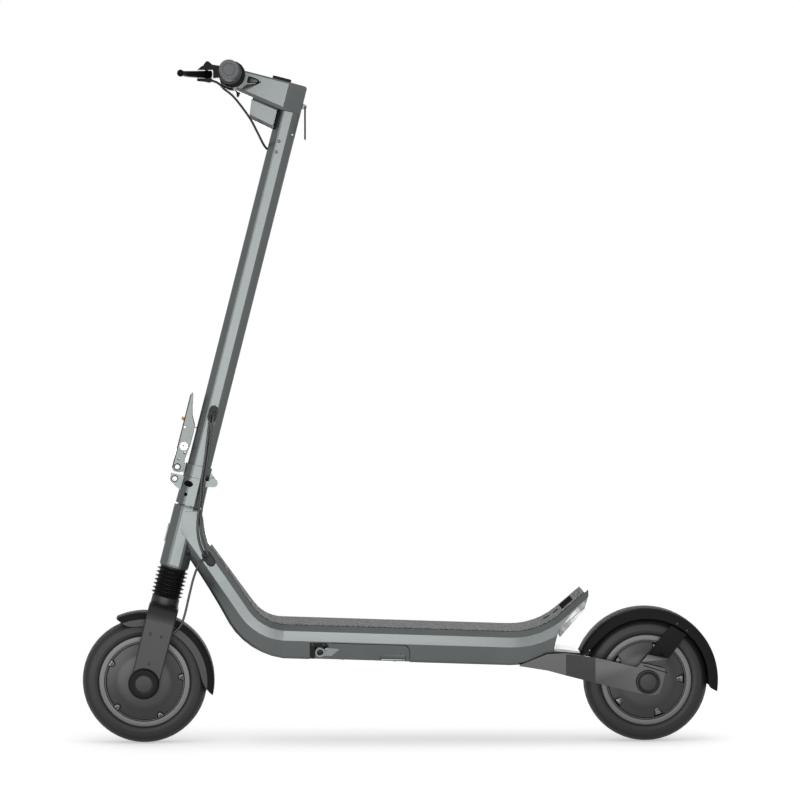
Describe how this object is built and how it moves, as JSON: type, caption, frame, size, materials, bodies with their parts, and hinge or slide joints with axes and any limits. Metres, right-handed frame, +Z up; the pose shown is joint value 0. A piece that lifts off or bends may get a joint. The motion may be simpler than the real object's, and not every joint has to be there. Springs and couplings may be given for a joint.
{
  "type": "folding electric scooter",
  "caption": "Folding stand-on electric scooter with hub-motor rear wheel, sprung front fork, latched stem, brake lever, thumb throttle, light, mudguards and side stand.",
  "frame": {"origin": "on the ground, at the centre of the scooter's length and width", "axes": "+Z up, -X to the front, -Y to the rider's left, +Y to the rider's right"},
  "size_m": [1.1328, 0.54, 1.2066],
  "materials": {
    "graphite_paint": "satin powder coat",
    "dark_paint": "satin black powder coat",
    "dark_satin": "satin anthracite powder coat",
    "silver_alloy": "fine cast, silver lacquer",
    "steel": "plated steel",
    "black_plastic": "fine grain",
    "black_rubber": "matt",
    "tyre_rubber": "matt, treaded",
    "deck_grip": "fine grit surface",
    "orange_plastic": "smooth",
    "lamp_clear": "clear, moulded",
    "tail_lens": "clear, faceted inside",
    "cell_wrap": "shrink wrap",
    "grip_rubber": "matt"
  },
  "bodies": {
    "frame": {"deck_frame": "graphite_paint", "deck_mat": "deck_grip", "belly_cover": "dark_paint", "battery_pack": "cell_wrap", "controller": "silver_alloy", "side_cover": "dark_paint", "kickstand_bracket": "dark_paint", "tail_light_lens": "tail_lens", "rear_fork": "dark_satin", "splash_guard": "silver_alloy", "rear_axle": "dark_paint", "motor_stator": "steel", "rear_mudguard": "black_plastic", "frame_grommet": "black_rubber", "lower_head_bearing": "steel", "upper_head_bearing": "steel", "front_plate": "silver_alloy"},
    "charge_cap": {"charge_cap": "black_rubber"},
    "rear_wheel": {"rear_tyre": "tyre_rubber", "rear_hub": "dark_satin", "rear_hub_cover": "dark_satin", "rear_wheel_bearing_left": "steel", "rear_wheel_bearing_right": "steel"},
    "steering": {"steerer_tube": "steel", "fold_base": "graphite_paint", "suspension_boot": "black_rubber", "suspension_spring": "steel", "port_cable_front": "black_rubber", "port_cable_back": "black_rubber"},
    "fork": {"front_fork": "dark_satin", "front_mudguard": "black_plastic", "front_axle": "dark_paint", "brake_cable_lower": "black_rubber"},
    "brake_arm": {"brake_arm": "steel"},
    "front_wheel": {"front_tyre": "tyre_rubber", "front_hub": "dark_satin", "front_hub_cover": "dark_satin", "front_wheel_bearing": "steel"},
    "stem": {"stem_tube": "graphite_paint", "stem_foot": "graphite_paint", "stem_head": "graphite_paint", "handlebar": "dark_paint", "grip_left": "grip_rubber", "grip_right": "grip_rubber", "brake_perch": "black_plastic", "throttle_housing": "black_plastic", "headlight_housing": "graphite_paint", "headlight_lens": "lamp_clear", "display": "black_plastic", "stem_grommet": "black_rubber", "brake_cable_upper": "black_rubber"},
    "latch_lever": {"latch_lever": "silver_alloy"},
    "latch_hook": {"latch_hook": "steel"},
    "safety_catch": {"safety_catch": "orange_plastic"},
    "brake_lever": {"brake_lever": "black_plastic"},
    "bell_lever": {"bell_lever": "silver_alloy"},
    "throttle_lever": {"throttle_lever": "silver_alloy"},
    "power_button": {"power_button": "silver_alloy"},
    "carry_loop": {"carry_loop": "steel"},
    "kickstand": {"kickstand": "silver_alloy"}
  },
  "joints": [
    {"name": "steering", "type": "hinge", "parent": "frame", "child": "steering", "pos_m": [-0.4555, 0, 0.111], "axis": [0.247, 0, 0.969], "range_deg": [-60, 60], "deforming": ["port_cable_front", "port_cable_back", "brake_cable_lower"]},
    {"name": "suspension", "type": "slide", "parent": "steering", "child": "fork", "axis": [0.247, 0, 0.969], "range_m": [0, 0.025], "stiffness_N_per_m": 9000, "springref_m": -0.014, "deforming": ["suspension_boot", "suspension_spring", "brake_cable_lower"]},
    {"name": "front_wheel_spin", "type": "hinge", "parent": "fork", "child": "front_wheel", "pos_m": [-0.4555, 0, 0.111], "axis": [0, 1, 0], "continuous": true},
    {"name": "rear_wheel_spin", "type": "hinge", "parent": "frame", "child": "rear_wheel", "pos_m": [0.4375, 0, 0.111], "axis": [0, 1, 0], "continuous": true},
    {"name": "stem_fold", "type": "hinge", "parent": "steering", "child": "stem", "pos_m": [-0.33304, 0, 0.46389], "axis": [0, 1, 0], "range_deg": [0, 90], "deforming": ["port_cable_front", "port_cable_back"]},
    {"name": "latch_lever", "type": "hinge", "parent": "stem", "child": "latch_lever", "pos_m": [-0.39692, 0, 0.49183], "axis": [0, -1, 0], "range_deg": [0, 90]},
    {"name": "latch_hook", "type": "hinge", "parent": "latch_lever", "child": "latch_hook", "pos_m": [-0.38513, 0, 0.52876], "axis": [0, -1, 0], "range_deg": [-90, 0]},
    {"name": "safety_catch", "type": "hinge", "parent": "latch_lever", "child": "safety_catch", "pos_m": [-0.38296, 0, 0.56237], "axis": [0, 1, 0], "range_deg": [0, 12], "stiffness_Nm_per_rad": 0.06, "springref_deg": -8.59},
    {"name": "brake_lever", "type": "hinge", "parent": "stem", "child": "brake_lever", "pos_m": [-0.34141, -0.132, 1.1851], "axis": [0, 0, 1], "range_deg": [0, 22], "stiffness_Nm_per_rad": 1.2, "springref_deg": -5.73},
    {"name": "brake_arm", "type": "hinge", "parent": "fork", "child": "brake_arm", "pos_m": [-0.44829, 0, 0.12309], "axis": [0, 1, 0], "range_deg": [0, 15]},
    {"name": "bell_lever", "type": "hinge", "parent": "stem", "child": "bell_lever", "pos_m": [-0.30091, -0.119, 1.1851], "axis": [0, 1, 0], "range_deg": [0, 18], "stiffness_Nm_per_rad": 0.06, "springref_deg": -11.46},
    {"name": "throttle_lever", "type": "hinge", "parent": "stem", "child": "throttle_lever", "pos_m": [-0.30091, 0.119, 1.1851], "axis": [0, 1, 0], "range_deg": [0, 35], "stiffness_Nm_per_rad": 0.06, "springref_deg": -11.46},
    {"name": "power_button", "type": "slide", "parent": "stem", "child": "power_button", "axis": [-0.247, 0, -0.969], "range_m": [0, 0.0012], "stiffness_N_per_m": 600, "springref_m": -0.001},
    {"name": "carry_loop", "type": "hinge", "parent": "stem", "child": "carry_loop", "pos_m": [-0.16949, 0, 1.12982], "axis": [0, 1, 0], "range_deg": [-100, 10]},
    {"name": "kickstand", "type": "hinge", "parent": "frame", "child": "kickstand", "pos_m": [-0.1443, -0.07806, 0.1676], "axis": [0.0098, 0.9563, 0.2922], "range_deg": [0, 92]},
    {"name": "charge_cap", "type": "hinge", "parent": "frame", "child": "charge_cap", "pos_m": [-0.1641, 0.08527, 0.1864], "axis": [0.9994, 0, -0.0337], "range_deg": [0, 120]}
  ],
  "couplings": [
    {"joint": "latch_hook", "follows": "latch_lever", "ratio": -1},
    {"joint": "brake_arm", "follows": "brake_lever", "ratio": 0.68}
  ]
}
